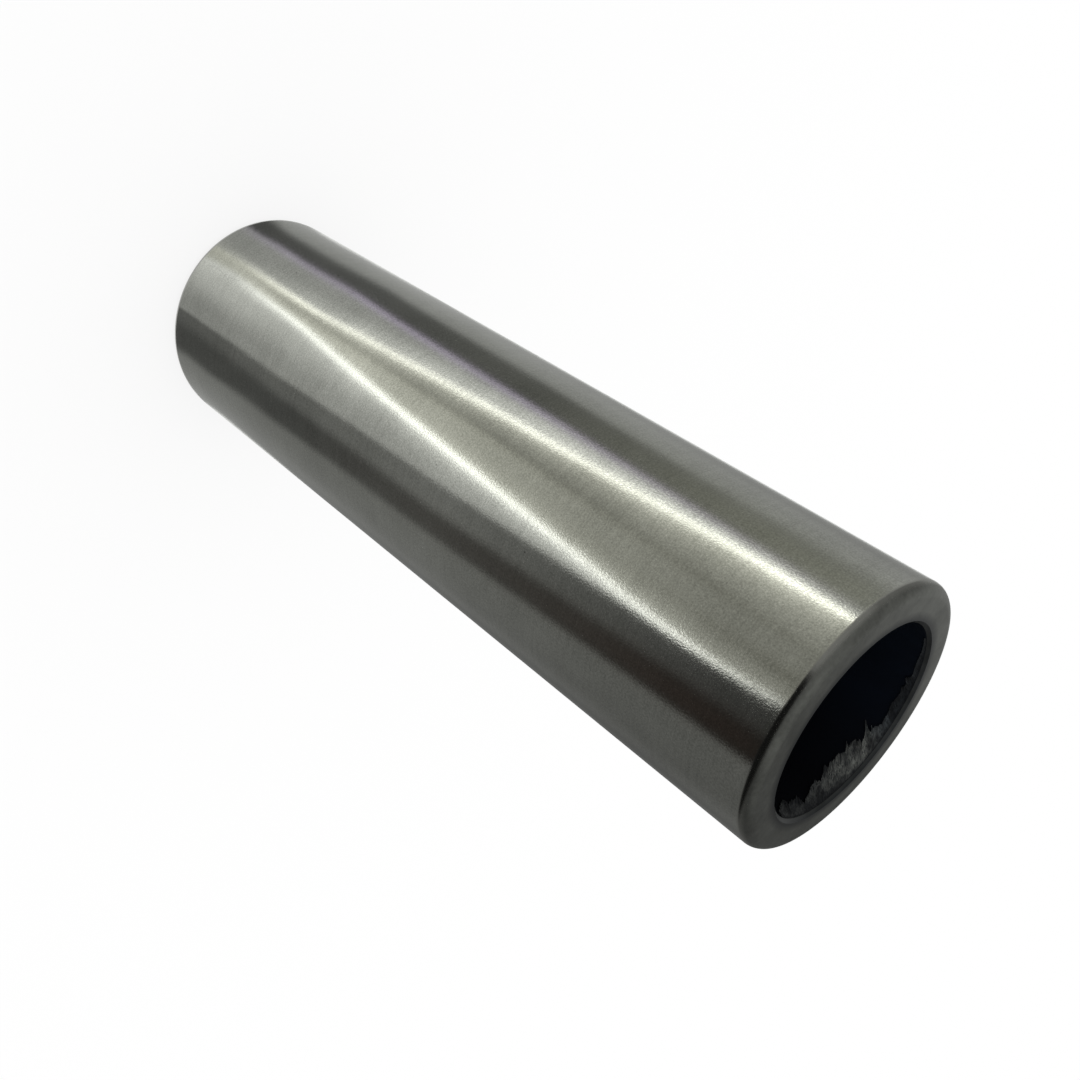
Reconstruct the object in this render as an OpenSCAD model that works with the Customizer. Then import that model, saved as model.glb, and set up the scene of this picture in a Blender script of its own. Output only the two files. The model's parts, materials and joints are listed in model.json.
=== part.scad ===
// Gudgeon pin: a hollow steel pin that links a piston to the small end of its connecting rod.
// It stands on one end face, with its axis along +Z and the lower face at Z = 0. Millimetres.

/* [Outside] */
// Ground outside diameter
pin_diameter = 18; // [16:0.5:40]
// Length between the two end faces
pin_length = 63; // [30:1:120]
// Radius of the rounded edge between the outside and each end face
edge_radius = 0.75; // [0.2:0.05:1.5]

/* [Bore] */
// Diameter of the bore that runs right through
bore_diameter = 13.2; // [6:0.1:15]
// Leg of the 45 degree chamfer at each mouth of the bore
mouth_chamfer = 0.2; // [0.1:0.05:0.8]

/* [Hidden] */
$fn = 96;
pin_r = pin_diameter / 2;
bore_r = bore_diameter / 2;
wall = pin_r - bore_r;
// Narrowest flat land that is left on an end face
min_land = 0.1;
// The round never takes more of the wall than the land and the chamfer leave
edge_r = min(edge_radius, wall - mouth_chamfer - min_land);

// Wall beside the axis, from the bore out to the ground outside, with both outer edges rounded
module rounded_wall() {
    translate([bore_r, edge_r]) square([wall, pin_length - 2 * edge_r]);
    translate([bore_r, 0]) square([wall - edge_r, pin_length]);
    for (z = [edge_r, pin_length - edge_r])
        translate([pin_r - edge_r, z]) circle(r = edge_r);
}

// Corner that is broken away where the bore meets an end face, as seen at the lower end
module mouth_corner() {
    polygon([[bore_r, 0], [bore_r + mouth_chamfer, 0], [bore_r, mouth_chamfer]]);
}

// The whole turned section: the rounded wall less the chamfers at its two mouths
module wall_section() {
    difference() {
        rounded_wall();
        mouth_corner();
        translate([0, pin_length]) mirror([0, 1]) mouth_corner();
    }
}

// The pin, turned in one piece
module gudgeon_pin() {
    color([0.50, 0.50, 0.47]) rotate_extrude() wall_section();
}

gudgeon_pin();
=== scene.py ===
# %% [markdown]
# # A ground steel gudgeon pin
# A gudgeon pin is the short hollow shaft that links a piston to the small end of its connecting rod.
# Its outside is ground and polished, its ends stay dull from hardening, and its bore keeps a black
# skin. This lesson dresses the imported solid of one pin. It loads the frame, reads the pin's sizes from
# it, and makes the finishes, the pin, the scale in its mouth, the studio and the camera, in that order.

# %% Load the frame
import json
import math
from collections import namedtuple

import bmesh
import bpy
import numpy as np
from mathutils import Matrix, Vector, noise


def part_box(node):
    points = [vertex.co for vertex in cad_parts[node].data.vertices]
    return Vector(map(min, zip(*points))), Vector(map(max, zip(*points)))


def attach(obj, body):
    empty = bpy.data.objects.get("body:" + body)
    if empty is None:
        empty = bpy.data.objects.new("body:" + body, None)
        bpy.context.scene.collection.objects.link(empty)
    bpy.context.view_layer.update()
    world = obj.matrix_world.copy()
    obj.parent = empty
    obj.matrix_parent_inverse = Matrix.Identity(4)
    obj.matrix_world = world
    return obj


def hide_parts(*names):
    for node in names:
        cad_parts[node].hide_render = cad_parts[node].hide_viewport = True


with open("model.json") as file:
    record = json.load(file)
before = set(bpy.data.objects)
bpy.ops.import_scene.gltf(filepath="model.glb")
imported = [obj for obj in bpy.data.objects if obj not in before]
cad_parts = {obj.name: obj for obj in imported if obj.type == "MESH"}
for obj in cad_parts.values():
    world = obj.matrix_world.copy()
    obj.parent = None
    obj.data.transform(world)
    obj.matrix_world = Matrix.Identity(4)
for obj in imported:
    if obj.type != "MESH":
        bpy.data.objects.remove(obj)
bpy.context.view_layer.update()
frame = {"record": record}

# %% [markdown]
# ## Sizes
# The frame already knows how big the pin is. Its box gives the length, the two mounts give the radii,
# and what the mounts leave of the length at each end is the rounded outer edge and the chamfer at the
# mouth of the bore. Reading sizes in this way keeps the picture and the solid in step if the solid is
# packed at another size.

# %% Read the pin's sizes
MM = 0.001
lowest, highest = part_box("gudgeon_pin")
mounts = {mount["name"]: mount["dims"] for mount in frame["record"]["mounts"]}
LENGTH = highest[2] - lowest[2]
OUTER_R = mounts["outside"]["r_mm"] * MM
BORE_R = mounts["bore"]["r_mm"] * MM
EDGE_R = (LENGTH - mounts["outside"]["length_mm"] * MM) / 2
MOUTH_LEG = (LENGTH - mounts["bore"]["length_mm"] * MM) / 2
print(f"length {LENGTH:.4f}, outer radius {OUTER_R:.4f}, bore radius {BORE_R:.4f}")
print(f"edge radius {EDGE_R:.5f}, mouth chamfer {MOUTH_LEG:.5f}")

# %% [markdown]
# ## Writing shader maths as Python
# A finish is a small network of nodes. Drawing it by hand is fine, but a script reads better when a sum
# looks like a sum. `Wire` holds one output socket, and every operator on it adds the Math node that
# does that sum.

# %% A socket that can be added and multiplied
class Wire:
    def __init__(self, bench, socket):
        self.bench = bench
        self.socket = socket

    def maths(self, operation, *values):
        return self.bench.node("ShaderNodeMath", {"operation": operation}, dict(enumerate(values)))

    def __add__(self, other):
        return self.maths("ADD", self, other)

    def __radd__(self, other):
        return self.maths("ADD", other, self)

    def __sub__(self, other):
        return self.maths("SUBTRACT", self, other)

    def __rsub__(self, other):
        return self.maths("SUBTRACT", other, self)

    def __mul__(self, other):
        return self.maths("MULTIPLY", self, other)

    def __rmul__(self, other):
        return self.maths("MULTIPLY", other, self)

    def __truediv__(self, other):
        return self.maths("DIVIDE", self, other)

    def __abs__(self):
        return self.maths("ABSOLUTE", self)

    def __gt__(self, other):
        return self.maths("GREATER_THAN", self, other)

    def __lt__(self, other):
        return self.maths("LESS_THAN", self, other)


# %% [markdown]
# Any other node comes from `Bench.node`. It sets the node's own settings first, because a setting can
# change which sockets there are, and then gives each socket a value or a link. The same bench works in
# a material, in the world and in a Geometry Nodes tree.

# %% A bench that makes nodes
class Bench:
    def __init__(self, tree):
        self.tree = tree

    def node(self, kind, settings=None, sockets=None, output=0):
        made = self.tree.nodes.new(kind)
        for name, value in (settings or {}).items():
            setattr(made, name, value)
        for key, value in (sockets or {}).items():
            if isinstance(value, Wire):
                self.tree.links.new(value.socket, made.inputs[key])
            else:
                made.inputs[key].default_value = value
        return Wire(self, made.outputs[output]) if made.outputs else made


# %% [markdown]
# ## Helpers that the finishes share
# A finish starts as an empty material with a bench in it, and closes with one Principled shader. Only
# what changes over the surface is linked to that shader, and the rest is set on its sockets, so that
# the finish can be baked.

# %% Start and close a finish
def start_finish(name):
    material = bpy.data.materials.new(name)
    material.use_nodes = True
    material.node_tree.nodes.clear()
    return material, Bench(material.node_tree)


def close_finish(material, bench, sockets):
    surface = bench.node("ShaderNodeBsdfPrincipled", {}, sockets)
    bench.node("ShaderNodeOutputMaterial", {}, {"Surface": surface})
    print(f"{material.name}: {len(bench.tree.nodes)} nodes")
    return material


# %% [markdown]
# Patterns read Object coordinates, so they stay on the steel when the camera moves. `from_axis` is the
# distance from the pin's axis. `grain` is a noise with its own scale along each axis: a high one along
# Z gives rings round the pin. `spread` stretches part of a value's range, and `shade_between` mixes two
# colours by a mask, because a Math node would turn a colour grey.

# %% Places, grain and colour
def object_place(bench):
    return bench.node("ShaderNodeTexCoord", output="Object")


def along(bench, place, axis):
    return bench.node("ShaderNodeSeparateXYZ", {}, {"Vector": place}, output=axis)


def from_axis(bench, place):
    flat = bench.node("ShaderNodeVectorMath", {"operation": "MULTIPLY"}, {0: place, 1: (1.0, 1.0, 0.0)})
    return bench.node("ShaderNodeVectorMath", {"operation": "LENGTH"}, {0: flat}, output="Value")


def grain(bench, scale, detail=4.0, rough=0.55, shift=(0.0, 0.0, 0.0), twist=0.0, place=None):
    place = place or object_place(bench)
    scaled = bench.node("ShaderNodeMapping", {}, {"Vector": place, "Location": shift, "Scale": scale})
    sockets = {"Vector": scaled, "Scale": 1.0, "Detail": detail, "Roughness": rough, "Distortion": twist}
    return bench.node("ShaderNodeTexNoise", {"noise_dimensions": "3D"}, sockets)


def spread(bench, value, low, high, to_low=0.0, to_high=1.0):
    sockets = {"Value": value, "From Min": low, "From Max": high, "To Min": to_low, "To Max": to_high}
    return bench.node("ShaderNodeMapRange", {"clamp": True}, sockets)


# Places of the sockets on a Mix node that mixes colours
MIX_MASK = 0
MIX_FIRST = 6
MIX_SECOND = 7
MIX_RESULT = 2


def shade_between(bench, mask, first, second):
    sockets = {MIX_MASK: mask}
    for key, shade in ((MIX_FIRST, first), (MIX_SECOND, second)):
        sockets[key] = (*shade, 1.0) if isinstance(shade, tuple) else shade
    return bench.node("ShaderNodeMix", {"data_type": "RGBA"}, sockets, output=MIX_RESULT)


# %% [markdown]
# ## The ground outside
# The outside is ground between wheels and then polished, so it is a mirror that was combed round the
# pin: its rings scatter light along the axis far more than round it. Rings that fine would be lost
# between the pixels, so the shader's anisotropy stands for them, turned a quarter so that highlights
# stretch along the axis. Here and there the steel has a small dark pit. A Voronoi pattern cuts space
# into cells, and a cell whose own random colour is red enough holds one pit at its middle.

# %% Pits
# Cells in a metre, a pit's radius in cells, and the share of that radius that is fully dark
PIT_CELLS = 700.0
PIT_SIZE = 0.045
PIT_FLOOR = 0.6
# Share of the cells that hold no pit
EMPTY_CELLS = 0.7
PIT_COLOUR = (0.06, 0.058, 0.052)


def pits(bench):
    cells = {"Vector": object_place(bench), "Scale": PIT_CELLS}
    near = bench.node("ShaderNodeTexVoronoi", {}, cells, output="Distance")
    lots = bench.node("ShaderNodeTexVoronoi", {}, cells, output="Color")
    lot = bench.node("ShaderNodeSeparateColor", {}, {"Color": lots}, output="Red")
    return spread(bench, near, PIT_SIZE, PIT_FLOOR * PIT_SIZE) * (lot > EMPTY_CELLS)


print(f"pits {2 * PIT_SIZE / PIT_CELLS / MM:.2f} mm across")

# %% [markdown]
# A fine speckle does most of the work on the steel: in the colour it is grain, and in the bump it
# breaks the bright streaks into sparks. Faint rings and slow clouds in colour and roughness keep the
# steel from looking like plastic.

# %% Ground steel
STEEL_DARK = (0.188, 0.191, 0.174)
STEEL_LIGHT = (0.390, 0.395, 0.366)
CLOUD_SHARE = 0.25
RING_SHARE = 0.17
SPECKLE_SHARE = 0.58
# A noise seldom strays far from its middle, so a range round that is stretched
NOISE_MIDDLE = 0.5
GRAIN_LOW = 0.3
GRAIN_HIGH = 0.7
CLOUD_LOW = 0.35
CLOUD_HIGH = 0.65
SHINY = 0.12
LESS_SHINY = 0.155
SPECKLE_DEPTH = 0.005 * MM
# Depth of the rings beside that of the speckle
RING_DEPTH = 0.15
COMBED = 0.6
QUARTER_TURN = 0.25


def ground_steel():
    material, bench = start_finish("ground_steel")
    clouds = grain(bench, (260.0, 260.0, 180.0), detail=5.0, rough=0.6)
    rings = grain(bench, (300.0, 300.0, 5200.0), detail=3.0, rough=0.5, shift=(3.0, 1.0, 0.0))
    speckle = grain(bench, (8800.0, 8800.0, 9600.0), detail=2.0, rough=0.6)
    tone = CLOUD_SHARE * spread(bench, clouds, GRAIN_LOW, GRAIN_HIGH)
    tone = tone + RING_SHARE * spread(bench, rings, GRAIN_LOW, GRAIN_HIGH)
    tone = tone + SPECKLE_SHARE * spread(bench, speckle, GRAIN_LOW, GRAIN_HIGH)
    colour = shade_between(bench, tone, STEEL_DARK, STEEL_LIGHT)
    colour = shade_between(bench, pits(bench), colour, PIT_COLOUR)
    dull = spread(bench, clouds, CLOUD_LOW, CLOUD_HIGH, SHINY, LESS_SHINY)
    relief = bench.node("ShaderNodeBump", {},
                        {"Height": speckle + RING_DEPTH * rings, "Distance": SPECKLE_DEPTH})
    return close_finish(material, bench, {
        "Base Color": colour, "Metallic": 1.0, "Roughness": dull, "Normal": relief,
        "Anisotropic": COMBED, "Anisotropic Rotation": QUARTER_TURN})


outside_finish = ground_steel()

# %% [markdown]
# ## The end
# The edge round is polished only where it meets the ground outside. Further in, the end is dull from
# hardening, and no sharp line marks the change, so one finish covers both: a mask that climbs with the
# round, made ragged by clouds, turns polish into dull steel. Round the mouth the face has a dark ring
# of painted shade, which is painted because it has no depth.

# %% End finish
# Shares of the edge round's height
POLISH_STOPS = 0.30
DULL_STARTS = 0.60
RAGGED = 0.25
POLISH_DARK = (0.258, 0.258, 0.238)
POLISH_LIGHT = (0.300, 0.300, 0.280)
POLISH_ROUGH = 0.17
DULL_DARK = (0.138, 0.141, 0.130)
DULL_LIGHT = (0.232, 0.237, 0.220)
DULL_ROUGH = 0.36
# Painted shade on the face round the mouth: its colour and its width
MOUTH_SHADE_COLOUR = (0.055, 0.058, 0.060)
MOUTH_SHADE_WIDTH = 0.6 * MM
# Share of the painted shade's width that is fully dark
MOUTH_SHADE_CORE = 0.15
FINE_SHARE = 0.35
END_GRAIN_LOW = 0.5
END_GRAIN_HIGH = 0.85
END_GRAIN_DEPTH = 0.01 * MM


def end_finish():
    material, bench = start_finish("end_finish")
    clouds = grain(bench, (380.0, 380.0, 380.0), detail=6.0, rough=0.65)
    fine = grain(bench, (4200.0, 4200.0, 4200.0), detail=3.0)
    place = object_place(bench)
    past_ground_length = abs(along(bench, place, "Z") - LENGTH / 2) - (LENGTH / 2 - EDGE_R)
    climb = past_ground_length / EDGE_R + RAGGED * (clouds - NOISE_MIDDLE)
    dulled = spread(bench, climb, POLISH_STOPS, DULL_STARTS)
    mouth = BORE_R + MOUTH_LEG
    # Painted shade on the face round the mouth, darkest next to the chamfer
    mouth_shade = spread(bench, from_axis(bench, place),
                    mouth + MOUTH_SHADE_WIDTH, mouth + MOUTH_SHADE_CORE * MOUTH_SHADE_WIDTH)
    tone = spread(bench, clouds + FINE_SHARE * fine, END_GRAIN_LOW, END_GRAIN_HIGH)
    matte = shade_between(bench, tone, DULL_DARK, DULL_LIGHT)
    matte = shade_between(bench, mouth_shade, matte, MOUTH_SHADE_COLOUR)
    polish = shade_between(bench, tone, POLISH_DARK, POLISH_LIGHT)
    colour = shade_between(bench, dulled, polish, matte)
    relief = bench.node("ShaderNodeBump", {},
                        {"Height": fine, "Strength": 0.4, "Distance": END_GRAIN_DEPTH})
    rough = dulled * (DULL_ROUGH - POLISH_ROUGH) + POLISH_ROUGH
    return close_finish(material, bench, {
        "Base Color": colour, "Metallic": 1.0, "Roughness": rough, "Normal": relief})


face_finish = end_finish()

# %% [markdown]
# ## The mouth
# The chamfer at the mouth is steel in painted shade: dark all over, and a little darker on its outer
# half, which gives the mouth its double line. A line that fine needs no edge in the mesh: the finish
# changes where the distance from the axis passes the middle of the chamfer.

# %% Mouth finish
# Painted shade: the tones of the chamfer's inner half, and of its darker outer half
INNER_DARK = (0.045, 0.048, 0.048)
INNER_LIGHT = (0.064, 0.067, 0.068)
SHADED_OUTER_DARK = (0.040, 0.043, 0.045)
SHADED_OUTER_LIGHT = (0.058, 0.062, 0.065)
# Shares of the chamfer's width between which the inner half ends
INNER_STOPS = 0.45
OUTER_STARTS = 0.6


def mouth_chamfer():
    material, bench = start_finish("mouth_chamfer")
    clouds = grain(bench, (900.0, 900.0, 900.0), detail=3.0)
    tone = spread(bench, clouds, CLOUD_LOW, CLOUD_HIGH)
    reach = from_axis(bench, object_place(bench))
    # The outer half is painted darker still, as shade
    shaded_outer_half = spread(bench, reach, BORE_R + INNER_STOPS * MOUTH_LEG, BORE_R + OUTER_STARTS * MOUTH_LEG)
    inner = shade_between(bench, tone, INNER_DARK, INNER_LIGHT)
    outer = shade_between(bench, tone, SHADED_OUTER_DARK, SHADED_OUTER_LIGHT)
    colour = shade_between(bench, shaded_outer_half, inner, outer)
    return close_finish(material, bench, {"Base Color": colour, "Metallic": 1.0, "Roughness": 0.4})


mouth_finish = mouth_chamfer()

# %% [markdown]
# ## The bore
# The bore isn't machined at all: hardening leaves it a black skin with a blue cast. A skin like that is
# an oxide and no longer a metal, so the finish isn't metallic, and clouds and a slow change from one
# side to the other tint it.

# %% Bore finish
BORE_BLACK = (0.0008, 0.0012, 0.0034)
BORE_BLUE = (0.0030, 0.0072, 0.0155)
LEAST_BLUE = 0.5
# Shares of the bore's radius, across the pin
BLUE_STARTS = 0.6
BLUE_FULL = -0.8


def black_bore():
    material, bench = start_finish("black_bore")
    clouds = grain(bench, (300.0, 300.0, 120.0), detail=5.0, rough=0.6)
    across = along(bench, object_place(bench), "X")
    blue_side = spread(bench, across, BLUE_STARTS * BORE_R, BLUE_FULL * BORE_R)
    blued = spread(bench, clouds, GRAIN_LOW, GRAIN_HIGH, LEAST_BLUE, 1.0) * blue_side
    colour = shade_between(bench, blued, BORE_BLACK, BORE_BLUE)
    return close_finish(material, bench, {
        "Base Color": colour, "Metallic": 0.0, "Roughness": 0.8, "Specular IOR Level": 0.12})


FINISHES = {
    "Outside finish": outside_finish,
    "End finish": face_finish,
    "Mouth finish": mouth_finish,
    "Bore finish": black_bore(),
}

# %% [markdown]
# ## The pin as a swept section
# The wall of the pin is a rectangle beside the axis with two rounded corners and two broken ones, swept
# round a circle. A Screw modifier would do, but Geometry Nodes keep the sizes as named inputs: Fillet
# Curve rounds each corner by its own radius, and one segment instead of many makes a fillet a chamfer.

# %% A tree with named inputs
def new_tree(name, sizes, finishes):
    tree = bpy.data.node_groups.new(name, "GeometryNodeTree")
    tree.interface.new_socket("Geometry", in_out="OUTPUT", socket_type="NodeSocketGeometry")
    names = {}
    for labels, kind in ((sizes, "NodeSocketFloat"), (finishes, "NodeSocketMaterial")):
        for label in labels:
            names[label] = tree.interface.new_socket(label, in_out="INPUT", socket_type=kind).identifier
    return tree, names


SIZES = {
    "Outer radius": OUTER_R,
    "Bore radius": BORE_R,
    "Length": LENGTH,
    "Edge radius": EDGE_R,
    "Mouth leg": MOUTH_LEG,
    "Ring spacing": 0.75 * MM,
}
pin_tree, pin_inputs = new_tree("Pin section swept round", SIZES, FINISHES)
print("inputs:", list(pin_inputs))

# %% [markdown]
# The four corners are numbered 0 to 3 round the rectangle: lower bore, lower outside, upper outside,
# upper bore. So corners 1 and 2 take the edge radius and corners 0 and 3 take the chamfer, which a
# comparison on Index picks out. The sweep lays the section's Y downwards, so heights go in with their
# sign turned.

# %% The section
ROUND_STEPS = 20
bench = Bench(pin_tree)
given = pin_tree.nodes.new("NodeGroupInput")
size = {label: Wire(bench, given.outputs[label]) for label in SIZES}
finish = {label: Wire(bench, given.outputs[label]) for label in FINISHES}
half_wall = (size["Outer radius"] - size["Bore radius"]) * 0.5
middle_radius = (size["Outer radius"] + size["Bore radius"]) * 0.5


def spot(across, up):
    return bench.node("ShaderNodeCombineXYZ", {}, {"X": across, "Y": 0.0 - up})


corners = {
    "Point 1": spot(0.0 - half_wall, 0.0),
    "Point 2": spot(half_wall, 0.0),
    "Point 3": spot(half_wall, size["Length"]),
    "Point 4": spot(0.0 - half_wall, size["Length"]),
}
section = bench.node("GeometryNodeCurvePrimitiveQuadrilateral", {"mode": "POINTS"}, corners)
index = bench.node("GeometryNodeInputIndex")
outer_corner = (index > 0.5) * (index < 2.5)
corner_steps = outer_corner * (ROUND_STEPS - 1.0) + 1.0
corner_size = outer_corner * (size["Edge radius"] - size["Mouth leg"]) + size["Mouth leg"]
broken = bench.node("GeometryNodeFilletCurve", {"mode": "POLY"},
                    {"Curve": section, "Count": corner_steps, "Radius": corner_size})
print("section corners:", list(corners))

# %% [markdown]
# Long straight runs get rings of vertices, so that shading stays even. The number of cuts follows from
# each segment's length: the distance to the next point divided by the ring spacing.

# %% Rings along the straight runs, then the sweep
ROUND_SEGMENTS = 216
place = bench.node("GeometryNodeInputPosition")
next_point = bench.node("GeometryNodeOffsetPointInCurve", {}, {"Point Index": index, "Offset": 1}, output=1)
next_place = bench.node("GeometryNodeFieldAtIndex", {"data_type": "FLOAT_VECTOR", "domain": "POINT"},
                        {"Value": place, "Index": next_point})
run = bench.node("ShaderNodeVectorMath", {"operation": "DISTANCE"}, {0: place, 1: next_place},
                 output="Value")
ringed = bench.node("GeometryNodeSubdivideCurve", {}, {"Curve": broken, "Cuts": run / size["Ring spacing"]})
circle = bench.node("GeometryNodeCurvePrimitiveCircle", {"mode": "RADIUS"},
                    {"Resolution": ROUND_SEGMENTS, "Radius": middle_radius})
upright = bench.node("GeometryNodeSetCurveNormal", {"mode": "Z_UP"}, {"Curve": circle})
swept = bench.node("GeometryNodeCurveToMesh", {}, {"Curve": upright, "Profile Curve": ringed})
print("sweep of", ROUND_SEGMENTS, "segments")

# %% [markdown]
# The sweep gives one skin. Each finish is then laid over the one before it, from the outside in: the
# end is all that lies beyond the ground length, the mouth all that lies inside the end face, and the
# bore what is left.

# %% Finishes by zone
SHARP_ANGLE = math.radians(25.0)
LEEWAY = 0.02 * MM
radius = from_axis(bench, place)
from_middle = abs(along(bench, place, "Z") - size["Length"] * 0.5)
zones = (
    ("End finish", from_middle > size["Length"] * 0.5 - size["Edge radius"]),
    ("Mouth finish", radius < size["Bore radius"] + size["Mouth leg"] - LEEWAY),
    ("Bore finish", radius < size["Bore radius"] + LEEWAY),
)
angle = bench.node("GeometryNodeInputMeshEdgeAngle")
skin = bench.node("GeometryNodeSetShadeSmooth", {"domain": "EDGE"},
                  {"Geometry": swept, "Selection": angle > SHARP_ANGLE, "Shade Smooth": False})
skin = bench.node("GeometryNodeRealizeInstances", {}, {"Geometry": skin})
skin = bench.node("GeometryNodeSetMaterial", {}, {"Geometry": skin, "Material": finish["Outside finish"]})
for label, zone in zones:
    skin = bench.node("GeometryNodeSetMaterial", {},
                      {"Geometry": skin, "Selection": zone, "Material": finish[label]})
bench.node("NodeGroupOutput", {}, {"Geometry": skin})
print("zones:", [label for label, zone in zones])

# %% [markdown]
# The modifier's inputs are set by the sockets' identifiers before the object is first evaluated. The
# result is copied into a plain mesh, the helper object goes, and the pin sits at the origin like the
# solid it stands for.

# %% Turn the tree into a plain mesh
def mesh_from_tree(name, tree, names, values):
    holder = bpy.data.objects.new(name + " holder", bpy.data.meshes.new(name + " holder"))
    bpy.context.scene.collection.objects.link(holder)
    modifier = holder.modifiers.new("Tree", "NODES")
    modifier.node_group = tree
    for label, value in values.items():
        modifier[names[label]] = value
    evaluated = holder.evaluated_get(bpy.context.evaluated_depsgraph_get())
    mesh = bpy.data.meshes.new_from_object(evaluated)
    holder.modifiers.remove(modifier)
    bpy.data.objects.remove(holder)
    mesh.name = name
    made = bpy.data.objects.new(name, mesh)
    bpy.context.scene.collection.objects.link(made)
    return made


pin = mesh_from_tree("ground_pin", pin_tree, pin_inputs, {**SIZES, **FINISHES})
spots = np.array([vertex.co for vertex in pin.data.vertices])
print("pin:", len(pin.data.polygons), "faces, from", spots.min(axis=0), "to", spots.max(axis=0))

# %% [markdown]
# A sweep can come out inside on the outside. The volume that the faces enclose tells: it is positive
# when they point outwards, and the mesh is turned over if it is not.

# %% Faces outwards
def face_outwards(piece):
    body = bmesh.new()
    body.from_mesh(piece.data)
    volume = body.calc_volume(signed=True)
    if volume < 0.0:
        bmesh.ops.reverse_faces(body, faces=body.faces)
        body.to_mesh(piece.data)
    open_edges = sum(1 for edge in body.edges if not edge.is_manifold)
    body.free()
    print(f"{piece.name}: volume {abs(volume) / MM ** 3:.1f} mm3, open edges {open_edges},",
          f"turned {volume < 0.0}")


face_outwards(pin)
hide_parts("gudgeon_pin")
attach(pin, "root")

# %% [markdown]
# ## The flake of scale in the mouth
# Just inside the upper mouth, one side of the bore wall keeps a ragged skin of grey scale: a band under
# the chamfer that ends in a fringe of leaning fibres. Hair or cloth could make it, but it is thinner
# than paper, so it is a grid bent round the bore with a front and a back, which makes one closed
# mesh. Its depth at a few angles is listed, and a few long splinters are added to that.

# %% Sizes of the flake
FLAKE_TOP = MOUTH_LEG + 0.02 * MM
FLAKE_SKIN = 0.045 * MM
FLAKE_SUNK = 0.05 * MM
FLAKE_LEAST = 0.02 * MM
FLAKE_COLUMNS = 720
FLAKE_ROWS = 26
# Degrees round the bore by which the fibres lean for each millimetre of depth
FLAKE_LEAN = 9.0
# Angle round the bore in degrees, and how deep the flake reaches there in millimetres
FLAKE_DEPTHS = (
    (-2, 0.8), (6, 1.45), (29, 0.95), (44, 1.45), (64, 1.55),
    (83, 1.0), (93, 0.74), (113, 0.70), (130, 0.5), (161, 0.3),
)
# Angle, half width in degrees and length in millimetres of the longest splinters
FLAKE_SPLINTERS = (
    (14, 2.4, 0.16), (37, 1.8, 0.2), (45.8, 1.6, 0.32), (54, 2.2, 0.18), (64, 1.5, 0.26),
    (74, 0.8, 0.2), (80.7, 1.0, 0.46), (84.5, 0.7, 0.2), (122, 3.0, 0.16),
)
print("flake from", FLAKE_DEPTHS[0][0], "to", FLAKE_DEPTHS[-1][0], "degrees with",
      len(FLAKE_SPLINTERS), "splinters")

# %% [markdown]
# Between those angles the depth eases from one to the next, and noise frays it: broad lumps, smaller
# ones and fine teeth, and hairs where a quicker noise rises above a threshold. The fraying grows with
# the depth, so the flake's shallow end stays smooth. A fixed number for each noise picks its own row,
# so every run gives the same flake.

# %% Edge of the flake
# Height in millimetres, row and waves per degree
FRAY = ((0.34, 2.1, 0.22), (0.17, 7.7, 0.55), (0.05, 4.3, 1.6))
# Share, row, waves per degree and threshold
HAIRS = ((1.0, 11.3, 1.5, 0.18), (0.8, 15.9, 2.3, 0.22))
HAIR_HEIGHT = 0.2
NOISE_LAYER = 0.37


def ease(share):
    share = np.clip(share, 0.0, 1.0)
    return share * share * (3.0 - 2.0 * share)


def depth_between(degrees):
    for (start, low), (end, high) in zip(FLAKE_DEPTHS, FLAKE_DEPTHS[1:]):
        if degrees <= end:
            return low + (high - low) * ease((degrees - start) / (end - start))
    return FLAKE_DEPTHS[-1][1]


def wave(degrees, row, pitch):
    return noise.noise(Vector((degrees * pitch, row, NOISE_LAYER)))


def flake_end(degrees):
    fray = sum(height * wave(degrees, row, pitch) for height, row, pitch in FRAY)
    hairs = sum(share * max(0.0, wave(degrees, row, pitch) - least) for share, row, pitch, least in HAIRS)
    depth = depth_between(degrees)
    depth += (fray + HAIR_HEIGHT * hairs) * min(1.0, depth ** 3)
    for middle, half_width, length in FLAKE_SPLINTERS:
        depth += length * max(0.0, 1.0 - abs(degrees - middle) / half_width)
    return depth * MM


deepest = max(flake_end(middle) for middle, half_width, length in FLAKE_SPLINTERS)
print(f"deepest splinter {deepest / MM:.2f} mm")

# %% [markdown]
# The front of the film lifts off the bore towards its tips, with ridges along the fibres, and its back
# is sunk a little into the wall so that no gap shows. Each point also keeps its angle and its depth in
# an attribute, because the fibres lean and a finish that follows them can't read that from its place.

# %% Points of the flake
# Height beside the skin's, waves per degree, waves per millimetre of depth, and layer of the noise
RIDGES = ((1.1, 1.3, 0.8, 5.0), (0.8, 4.0, 2.0, 9.0))
LEAST_LIFT = 0.25
TIP_LIFT = 1.1


def flake_lift(degrees, depth, share):
    lift = LEAST_LIFT + TIP_LIFT * share ** 3
    for height, pitch, down, layer in RIDGES:
        ridge = 0.5 + 0.5 * noise.noise(Vector((degrees * pitch, depth / MM * down, layer)))
        lift += height * ridge * share
    return FLAKE_SKIN * lift


def flake_points(sunk):
    points, lies = [], []
    first, last = FLAKE_DEPTHS[0][0], FLAKE_DEPTHS[-1][0]
    for column in range(FLAKE_COLUMNS + 1):
        degrees = first + (last - first) * column / FLAKE_COLUMNS
        end = max(flake_end(degrees), FLAKE_TOP + FLAKE_LEAST)
        for row in range(FLAKE_ROWS + 1):
            share = row / FLAKE_ROWS
            depth = FLAKE_TOP + (end - FLAKE_TOP) * share
            rise = -FLAKE_SUNK if sunk else flake_lift(degrees, depth, share)
            reach = BORE_R - rise
            turn = math.radians(degrees + FLAKE_LEAN * depth / MM)
            points.append((reach * math.cos(turn), reach * math.sin(turn), LENGTH - depth))
            lies.append((degrees, depth / MM, 0.0))
    return points, lies


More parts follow.
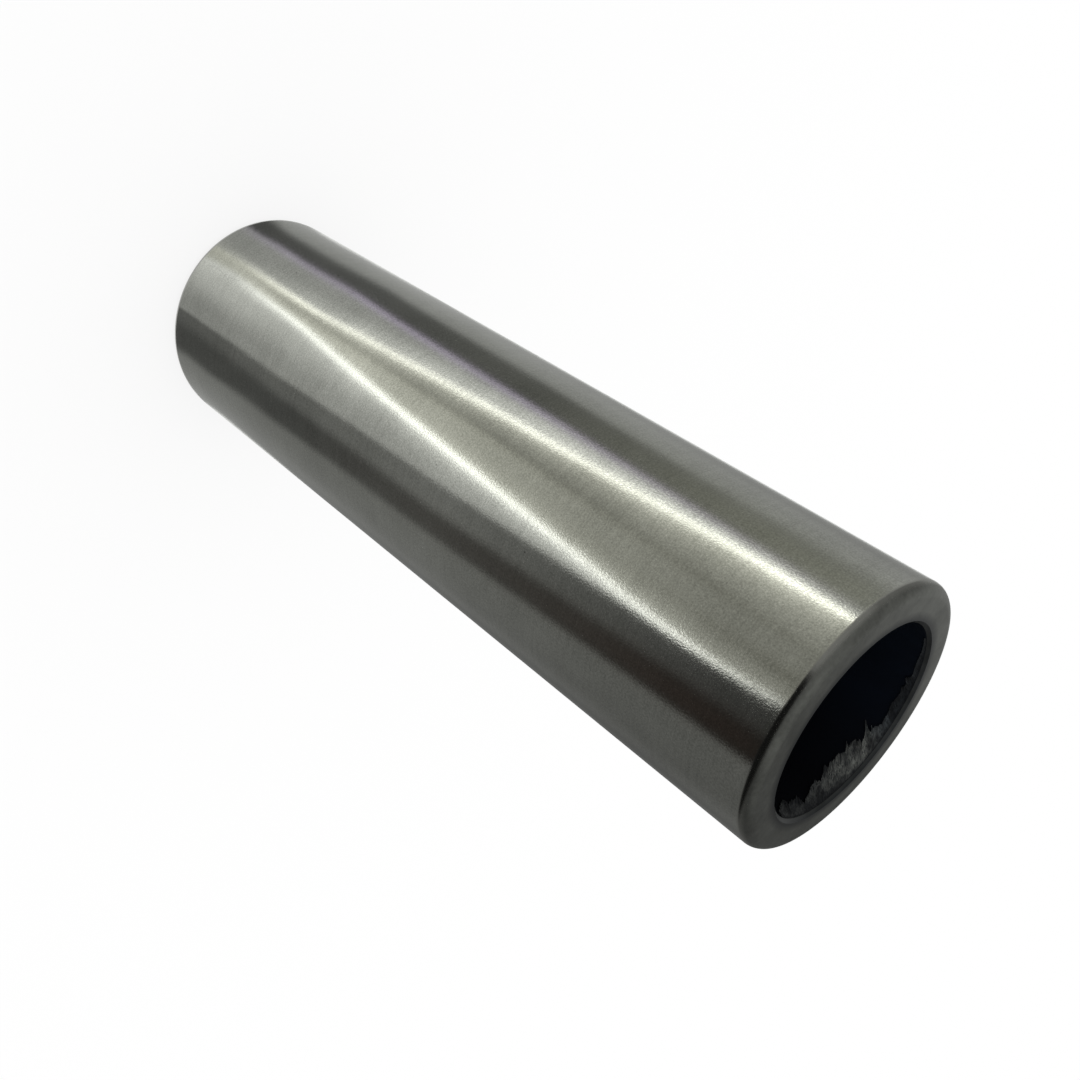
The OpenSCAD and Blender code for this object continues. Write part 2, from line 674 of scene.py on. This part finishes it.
front, front_lies = flake_points(sunk=False)
back, back_lies = flake_points(sunk=True)
print("flake points:", len(front), "in front,", len(back), "behind")

# %% [markdown]
# Front and back are the same grid, so one function gives the faces of both, with the back's turned
# over. A strip of faces along the grid's border joins them and closes the film.

# %% Faces of the flake
STRIDE = FLAKE_ROWS + 1


def flake_faces(start, flip):
    faces = []
    for column in range(FLAKE_COLUMNS):
        for row in range(FLAKE_ROWS):
            corner = start + column * STRIDE + row
            ring = (corner, corner + STRIDE, corner + STRIDE + 1, corner + 1)
            faces.append(ring[::-1] if flip else ring)
    return faces


def flake_rim(behind):
    top = [column * STRIDE for column in range(FLAKE_COLUMNS + 1)]
    right = [FLAKE_COLUMNS * STRIDE + row for row in range(FLAKE_ROWS + 1)]
    bottom = [column * STRIDE + FLAKE_ROWS for column in range(FLAKE_COLUMNS, -1, -1)]
    left = list(range(FLAKE_ROWS, -1, -1))
    loop = top + right[1:] + bottom[1:] + left[1:]
    return [(second, first, first + behind, second + behind) for first, second in zip(loop, loop[1:])]


flake_skin = flake_faces(0, flip=False) + flake_faces(len(front), flip=True) + flake_rim(len(front))
print("flake faces:", len(flake_skin))

# %% [markdown]
# The scale is dry and grey with a green cast. Its pale colour is painted lit on one side and painted
# cooler on the side that lies in shade. A twisted noise on the fibres' attribute, taken where it
# crosses its middle, draws thin pale hairs, and a slower one gathers them into clumps. Four masks then
# paint shade on the far side, the near end, the deep tips and the line right under the chamfer.

# %% Finish of the flake
SCALE_DARK = (0.0025, 0.004, 0.007)
# Pale colour where light is painted, and its cooler copy where shade is painted
LIT_SCALE_PALE = (0.205, 0.215, 0.196)
SHADED_SCALE_COOL = (0.140, 0.185, 0.215)
HAIR_WIDTH = 0.10
BETWEEN_HAIRS = 0.18
CLUMP_LOW = 0.38
CLUMP_HIGH = 0.62
BETWEEN_CLUMPS = 0.2
# Where each mask of painted light or shade starts and ends, across the pin or down from the end face
PAINTED_LIGHT_SIDE = (-2.0 * MM, 0.4 * MM)
NEAR_END_SHADE = (3.0 * MM, 5.0 * MM)
FAR_SIDE_SHADE = (0.4 * MM, 0.9 * MM)
TIP_SHADE = (0.9 * MM, 1.8 * MM)
LIP_SHADE = (FLAKE_TOP, FLAKE_TOP + 0.2 * MM)
# How much of the light each part in painted shade keeps
NEAR_SHADE_TONE = 0.28
FAR_SHADE_TONE = 0.12
TIP_SHADE_TONE = 0.4
LIP_SHADE_TONE = 0.2


def scale_with_painted_light():
    material, bench = start_finish("scale_with_painted_light")
    lie = bench.node("ShaderNodeAttribute", {"attribute_name": "fibre"}, output="Vector")
    strands = grain(bench, (0.6, 1.5, 1.0), detail=3.0, rough=0.65, twist=1.8, place=lie)
    hairs = spread(bench, abs(strands - NOISE_MIDDLE), HAIR_WIDTH, 0.0)
    clumps = grain(bench, (0.14, 1.3, 1.0), detail=3.0, rough=0.6, shift=(4.0, 2.0, 0.0), place=lie)
    place = object_place(bench)
    across = along(bench, place, "X")
    depth = LENGTH - along(bench, place, "Z")
    # Painted light on one side; painted shade on the far side, near end, deep tips and under the chamfer
    painted_light_side = spread(bench, across, *PAINTED_LIGHT_SIDE)
    far_side_shade = (1.0 - painted_light_side) * spread(bench, depth, *FAR_SIDE_SHADE, FAR_SHADE_TONE, 0.0)
    near_end_shade = spread(bench, across, *NEAR_END_SHADE, 1.0, NEAR_SHADE_TONE)
    tips = spread(bench, depth, *TIP_SHADE, 1.0, TIP_SHADE_TONE)
    lip_shade = spread(bench, depth, *LIP_SHADE, LIP_SHADE_TONE, 1.0)
    clumped = spread(bench, clumps, CLUMP_LOW, CLUMP_HIGH, BETWEEN_CLUMPS, 1.0)
    tone = (BETWEEN_HAIRS + (1.0 - BETWEEN_HAIRS) * hairs) * clumped
    tone = tone * (painted_light_side + far_side_shade) * near_end_shade * tips * lip_shade
    # Lit and shaded copies of the pale colour
    pale = shade_between(bench, painted_light_side, SHADED_SCALE_COOL, LIT_SCALE_PALE)
    colour = shade_between(bench, tone, SCALE_DARK, pale)
    return close_finish(material, bench, {"Base Color": colour, "Metallic": 0.0, "Roughness": 0.75})


scale_finish = scale_with_painted_light()

# %% [markdown]
# A mesh from lists of points and faces is the plainest way to make a piece, and the floor and the tent
# use it too.

# %% The flake as a piece
def make_piece(name, points, faces, material):
    mesh = bpy.data.meshes.new(name)
    mesh.from_pydata(points, [], faces)
    mesh.materials.append(material)
    mesh.update()
    made = bpy.data.objects.new(name, mesh)
    bpy.context.scene.collection.objects.link(made)
    return made


flake = make_piece("mouth_scale", front + back, flake_skin, scale_finish)
fibre_lie = flake.data.attributes.new("fibre", "FLOAT_VECTOR", "POINT")
fibre_lie.data.foreach_set("vector", np.array(front_lies + back_lies, dtype=np.float32).ravel())
face_outwards(flake)
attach(flake, "root")

# %% [markdown]
# ## Floor and sky
# The photograph has a plain white ground. The floor is white to the camera and to mirror rays, with
# part of its diffuse shading mixed in so that the pin keeps its soft shadow. The sky is plain white
# light at a strength of one.

# %% Floor and sky
FLOOR_HALF = 3.0
WHITE_SHARE = 0.8
WHITE = (1.0, 1.0, 1.0, 1.0)


def studio_floor():
    material, bench = start_finish("white_floor")
    rays = ("Is Camera Ray", "Is Glossy Ray", "Is Transmission Ray")
    camera_ray, glossy_ray, clear_ray = [bench.node("ShaderNodeLightPath", output=ray) for ray in rays]
    seen = (camera_ray + glossy_ray + clear_ray) * WHITE_SHARE
    matte = bench.node("ShaderNodeBsdfDiffuse", {}, {"Color": WHITE})
    white = bench.node("ShaderNodeEmission", {}, {"Color": WHITE, "Strength": 1.0})
    mixed = bench.node("ShaderNodeMixShader", {}, {0: seen, 1: matte, 2: white})
    bench.node("ShaderNodeOutputMaterial", {}, {"Surface": mixed})
    return material


floor_corners = [(-FLOOR_HALF, -FLOOR_HALF, 0.0), (FLOOR_HALF, -FLOOR_HALF, 0.0),
                 (FLOOR_HALF, FLOOR_HALF, 0.0), (-FLOOR_HALF, FLOOR_HALF, 0.0)]
floor = make_piece("Floor", floor_corners, [(0, 1, 2, 3)], studio_floor())
sky = bpy.data.worlds.new("White sky")
sky.use_nodes = True
sky.node_tree.nodes.clear()
sky_bench = Bench(sky.node_tree)
light = sky_bench.node("ShaderNodeBackground", {}, {"Color": WHITE, "Strength": 1.0})
sky_bench.node("ShaderNodeOutputWorld", {}, {"Surface": light})
bpy.context.scene.world = sky
print("floor of", 2 * FLOOR_HALF, "m under a white sky")

# %% [markdown]
# ## A tent of bright and dark bands
# Polished steel shows nothing but what stands round it. A product photographer shapes that with pale
# cards, dark flags and bright strips, and so does this scene. The pin stands upright, so its side
# mirrors the ground round its foot: a round mat lies there, and its rim turns up and closes over the
# top like a tent. Only mirror rays see it, so the floor and the soft light on the pin stay plain. A
# height on the pin mirrors a distance on the mat: the foot mirrors what is near, and the top what is
# far. So the mat's colours are given at six distances, the ribs, and eased round the mat from one band
# to the next.

# %% Ribs and tints
# Distances from the axis in millimetres
RIBS = (9.05, 12.3, 21.0, 48.0, 117.0, 200.0)
RIB_LOGS = np.log(RIBS)
GREY = (0.99, 1.0, 0.98)
CREAM = (1.0, 0.99, 0.90)
OLIVE = (1.0, 1.0, 0.91)
RUST = (1.0, 0.3, 0.05)
VIOLET = (0.9, 0.5, 1.5)
BLUE = (0.0, 0.0, 1.0)


def even(value):
    return (value,) * len(RIBS)


print("ribs at", RIBS, "mm")

# %% [markdown]
# Each band has a tint, a level at each rib, the angle at each rib where the next band starts, and how
# soft that line is in degrees. Zero is towards the camera, and plus is to the left of the pin in the
# photograph.

# %% Bands of the mat
Band = namedtuple("Band", "name tint levels ends soft")
BANDS = (
    Band("open floor", GREY, even(1.0), (-80, -107, -135, -148, -155, -158), 4.0),
    Band("right wing", GREY, (0.54, 0.54, 0.55, 0.45, 0.40, 0.40),
         (-74, -96, -118, -128, -132, -132), 10.0),
    Band("right card", GREY, (0.54, 0.54, 0.58, 0.6, 0.6, 0.6), (-54, -69, -89, -98, -99, -98), 5.0),
    Band("right flag", GREY, (0.16, 0.17, 0.20, 0.22, 0.45, 0.54),
         (-38.5, -51.5, -64, -68.5, -70, -70), 2.0),
    Band("bright card", GREY, (0.64, 0.70, 0.75, 0.80, 0.64, 0.60),
         (-18, -24, -28.5, -44.9, -57.6, -60.2), 2.0),
    Band("olive shade", OLIVE, (0.9, 0.9, 0.54, 0.40, 0.57, 0.60), (-14, -19, -20, -25, -25, -25), 2.5),
    Band("olive card", OLIVE, (0.9, 0.9, 0.82, 0.86, 0.58, 0.50), (-10, -15, -14, 4, 20, 14), 2.0),
    Band("white card", GREY, (1.2, 1.2, 1.1, 1.08, 1.0, 0.9), (5, 7, 10, 18, 19.5, 13), 10.0),
    Band("pale card", GREY, (0.66, 0.66, 0.78, 0.96, 1.0, 0.9), (20, 25.5, 31, 29.5, 21.1, 14.8), 0.9),
    Band("left shade", GREY, (0.27, 0.27, 0.31, 0.40, 0.13, 0.07), (27, 35, 45, 51, 43, 41), 5.0),
    Band("left flag", GREY, (0.16, 0.16, 0.15, 0.16, 0.056, 0.029), (43, 58, 69, 73, 67, 65), 4.0),
    Band("left card", GREY, (0.42, 0.41, 0.38, 0.37, 0.28, 0.26), (55, 74, 93, 105, 100, 100), 14.0),
    Band("left wing", GREY, (0.44, 0.42, 0.38, 0.31, 0.22, 0.25), (70, 92, 118, 132, 136, 138), 8.0),
    Band("back wing", GREY, (0.44, 0.40, 0.28, 0.20, 0.15, 0.17), (82, 110, 144, 164, 172, 178), 4.0),
    Band("open floor", GREY, even(1.0), None, None),
)
print("bands:", [band.name for band in BANDS])

# %% [markdown]
# Strips are laid over the bands. Each has a tint, and at each rib a level, the angle of its middle and
# its half width in degrees. The two lamps also spill light on the bands beside them, with a share and a
# reach to each side. A level below zero takes light away, which gives threads of shade and one stain
# that only takes blue.

# %% Strips over the bands
Strip = namedtuple("Strip", "name tint levels line halves spill minus_reach plus_reach",
                   defaults=(0.0, 1.0, 1.0))
STRIPS = (
    Strip("right lamp", CREAM, (0.2, 0.4, 2.3, 4.5, 4.4, 4.9), (-18, -24, -28.5, -44.9, -57.6, -60.2),
          (4.5, 3.2, 1.8, 1.3, 1.4, 1.6), 0.70, 4.5, 10.5),
    Strip("glow beside it", GREY, (0.0, 0.0, 0.20, 0.55, 0.85, 0.30), (-24, -32, -38, -57, -62, -63),
          (4.0, 4.0, 5.0, 4.5, 3.6, 3.0)),
    Strip("left lamp", GREY, (0.25, 0.30, 1.8, 5.2, 3.8, 1.4), (-8.5, -13.5, -12.5, 4, 20.7, 14.3),
          (5.0, 5.5, 2.5, 1.5, 1.4, 1.3), 0.28, 8.0, 6.0),
    Strip("rust", RUST, (0.0, 0.0, 0.0, 0.012, 0.022, 0.017), (35, 46, 57, 62, 55, 53),
          (9.0, 12.0, 14.0, 14.0, 14.0, 14.0)),
    Strip("violet", VIOLET, (0.05, 0.17, 0.28, 0.30, 0.12, 0.0), (-36.5, -49, -61.5, -66.2, -68.0, -68.5),
          even(3.0)),
    Strip("olive stain", BLUE, (0.0, 0.0, 0.0, -0.01, -0.05, -0.06), even(-80), even(22.0)),
    Strip("shade between lamps", GREY, (0.0, 0.0, -0.14, -0.19, -0.12, -0.07),
          (-14, -19, -20.5, -23.5, -24.5, -24.5), even(3.5)),
    Strip("pale thread", GREY, (0.0, 0.0, 0.0, 0.0, 0.06, 0.15),
          (-108, -108, -108, -108, -109, -111), even(4.0)),
    Strip("dark thread", GREY, (0.0, 0.0, 0.0, 0.0, -0.07, -0.25), even(-1), even(4.5)),
)
print("strips:", [strip.name for strip in STRIPS])

# %% [markdown]
# The colours of one ring of the mat come from its distance, `place`, as a logarithm, because the ribs
# crowd near the pin. The ring starts in the first band's colour, and each line adds the step to the
# next band.

# %% Colours of the mat
def soft_steps(turns, line, soft):
    return ease((turns - line) / soft * 0.5 + 0.5)[:, None]


def band_colour(band, place):
    return np.array(band.tint) * np.interp(place, RIB_LOGS, band.levels)


def band_colours(place, turns):
    colours = np.tile(band_colour(BANDS[0], place), (len(turns), 1))
    for band, after in zip(BANDS, BANDS[1:]):
        line = np.interp(place, RIB_LOGS, band.ends)
        step = band_colour(after, place) - band_colour(band, place)
        colours += soft_steps(turns, line, band.soft) * step
    return colours


def add_strips(colours, place, turns):
    for strip in STRIPS:
        gap = turns - np.interp(place, RIB_LOGS, strip.line)
        level = np.interp(place, RIB_LOGS, strip.levels)
        half = np.interp(place, RIB_LOGS, strip.halves)
        reach = np.where(gap < 0.0, strip.minus_reach, strip.plus_reach)
        colours *= 1.0 + level * strip.spill * np.exp(-np.abs(gap) / reach)[:, None]
        colours += level * np.exp(-(gap / half) ** 2)[:, None] * np.array(strip.tint)
    return colours


# %% [markdown]
# Above the rim the tent is plainer. The end face mirrors the wall behind the pin, which brightens
# slowly from one side to the other. The edge round mirrors the wall in front, from the rim upwards: it
# is nearly black on the left, where the photograph has a thin dark line along the edge, and pale again
# under the roof. A part of the sky has a level, the angles at the rim and at the roof where the next
# part starts, and how soft that line is.

# %% Sky of the tent
SkyPart = namedtuple("SkyPart", "name level rim_end roof_end soft")
SKY = (
    SkyPart("behind", 0.16, -174, -174, 10.0),
    SkyPart("behind on the right", 0.45, -132, -132, 8.0),
    SkyPart("right", 0.30, -75, -75, 8.0),
    SkyPart("front on the right", 0.45, -12, -12, 8.0),
    SkyPart("dark front", 0.018, 112, 48, 10.0),
    SkyPart("left and behind", 0.16, None, None, None),
)


def sky_colours(turns, lean):
    levels = np.full((len(turns), 1), SKY[0].level)
    for part, after in zip(SKY, SKY[1:]):
        line = part.rim_end + lean * (part.roof_end - part.rim_end)
        levels += soft_steps(turns, line, part.soft) * (after.level - part.level)
    return levels * np.array(GREY)


print("sky:", [part.name for part in SKY])

# %% [markdown]
# The tent is a grid of rings: out over the floor, up the wall and in again under the roof. Each ring
# takes its colours from the functions above. Up the wall, the rim's colours ease into the sky's, and
# the sky's into the roof's, which is brightest in its middle.

# %% Rings of the tent
# Heights and reaches in millimetres
MAT_LIFT = 0.6
WALL_STARTS = 5.0
RIM_HEIGHT = 12.0
SKY_HEIGHT = 40.0
SHADE_STOPS = 185.0
ROOF_STARTS = 270.0
TENT_HEIGHT = 320.0
MIDDLE_REACH = 100.0
ROOF_HOLE = 0.5
ROOF_LEVEL = 0.36
ROOF_MIDDLE = 0.55
MAT_RINGS = 56
WALL_RINGS = 50
ROOF_RINGS = 24


def mat_rings(turns):
    rings = []
    for place in np.linspace(RIB_LOGS[0], RIB_LOGS[-1], MAT_RINGS):
        rings.append((math.exp(place), MAT_LIFT, add_strips(band_colours(place, turns), place, turns)))
    return rings


def wall_rings(turns):
    rings = []
    rim = band_colours(RIB_LOGS[-1], turns)
    for height in np.linspace(WALL_STARTS, TENT_HEIGHT, WALL_RINGS):
        lean = np.clip((height - SKY_HEIGHT) / (ROOF_STARTS - SKY_HEIGHT), 0.0, 1.0)
        wall = sky_colours(turns, lean)
        roofed = ease((height - SHADE_STOPS) / (ROOF_STARTS - SHADE_STOPS))
        wall += roofed * (np.array(GREY) * ROOF_LEVEL - wall)
        above_rim = ease((height - RIM_HEIGHT) / (SKY_HEIGHT - RIM_HEIGHT))
        rings.append((RIBS[-1], height, rim + above_rim * (wall - rim)))
    return rings


def roof_rings(turns):
    rings = []
    for reach in np.linspace(RIBS[-1], ROOF_HOLE, ROOF_RINGS)[1:]:
        level = ROOF_LEVEL + ease(1.0 - reach / MIDDLE_REACH) * (ROOF_MIDDLE - ROOF_LEVEL)
        rings.append((reach, TENT_HEIGHT, np.tile(np.array(GREY) * level, (len(turns), 1))))
    return rings


# %% [markdown]
# A colour attribute carries the rings' colours to an Emission shader. The tent is hidden from the
# camera, from diffuse light and from shadows, and isn't sampled as a lamp, so it is nothing but what
# the steel mirrors.

# %% The tent
TURN_STEPS = 480


def tent_glow():
    material, bench = start_finish("tent_glow")
    colour = bench.node("ShaderNodeAttribute", {"attribute_name": "glow"}, output="Color")
    shine = bench.node("ShaderNodeEmission", {}, {"Color": colour, "Strength": 1.0})
    bench.node("ShaderNodeOutputMaterial", {}, {"Surface": shine})
    material.cycles.emission_sampling = "NONE"
    return material


def make_tent():
    turns = np.linspace(-180.0, 180.0, TURN_STEPS + 1)
    rings = mat_rings(turns) + wall_rings(turns) + roof_rings(turns)
    points, colours, faces = [], [], []
    for reach, height, shades in rings:
        for turn, shade in zip(np.radians(turns), shades):
            points.append((reach * MM * math.sin(turn), -reach * MM * math.cos(turn), height * MM))
            colours.append((*shade, 1.0))
    stride = len(turns)
    for ring in range(len(rings) - 1):
        for step in range(TURN_STEPS):
            corner = ring * stride + step
            faces.append((corner, corner + 1, corner + stride + 1, corner + stride))
    made = make_piece("Tent", points, faces, tent_glow())
    glow = made.data.color_attributes.new("glow", "FLOAT_COLOR", "POINT")
    glow.data.foreach_set("color", np.array(colours, dtype=np.float32).ravel())
    return made


tent = make_tent()
tent.visible_camera = False
tent.visible_diffuse = False
tent.visible_shadow = False
tent.visible_transmission = False
print("tent:", len(tent.data.polygons), "faces")

# %% [markdown]
# ## Camera
# The pin stands, but the photograph was taken close, from above and with the camera rolled, so that the
# pin lies across the frame. The photograph is also a crop of a larger one, so its vanishing lines meet
# off the middle of the frame: a small lens shift gives that crop. The roll turns the camera about its
# own line of sight.

# %% Camera
EYE = Vector((0.0, -60.5, 81.25)) * MM
AIM = Vector((7.38, 0.0, 40.36)) * MM
ROLL = math.radians(128.34)
FIELD = math.radians(53.37)
CROP_SHIFT = (0.0213, 0.0787)
lens = bpy.data.cameras.new("Close camera")
lens.sensor_fit = "HORIZONTAL"
lens.angle = FIELD
lens.shift_x, lens.shift_y = CROP_SHIFT
lens.clip_start = 1.0 * MM
camera = bpy.data.objects.new("Close camera", lens)
facing = (AIM - EYE).to_track_quat("-Z", "Y").to_matrix().to_4x4()
camera.matrix_world = Matrix.Translation(EYE) @ facing @ Matrix.Rotation(ROLL, 4, "Z")
bpy.context.scene.collection.objects.link(camera)
bpy.context.scene.camera = camera
bpy.context.scene.view_settings.view_transform = "Standard"
right = camera.matrix_world.to_3x3() @ Vector((1.0, 0.0, 0.0))
print("camera right", [round(value, 4) for value in right])
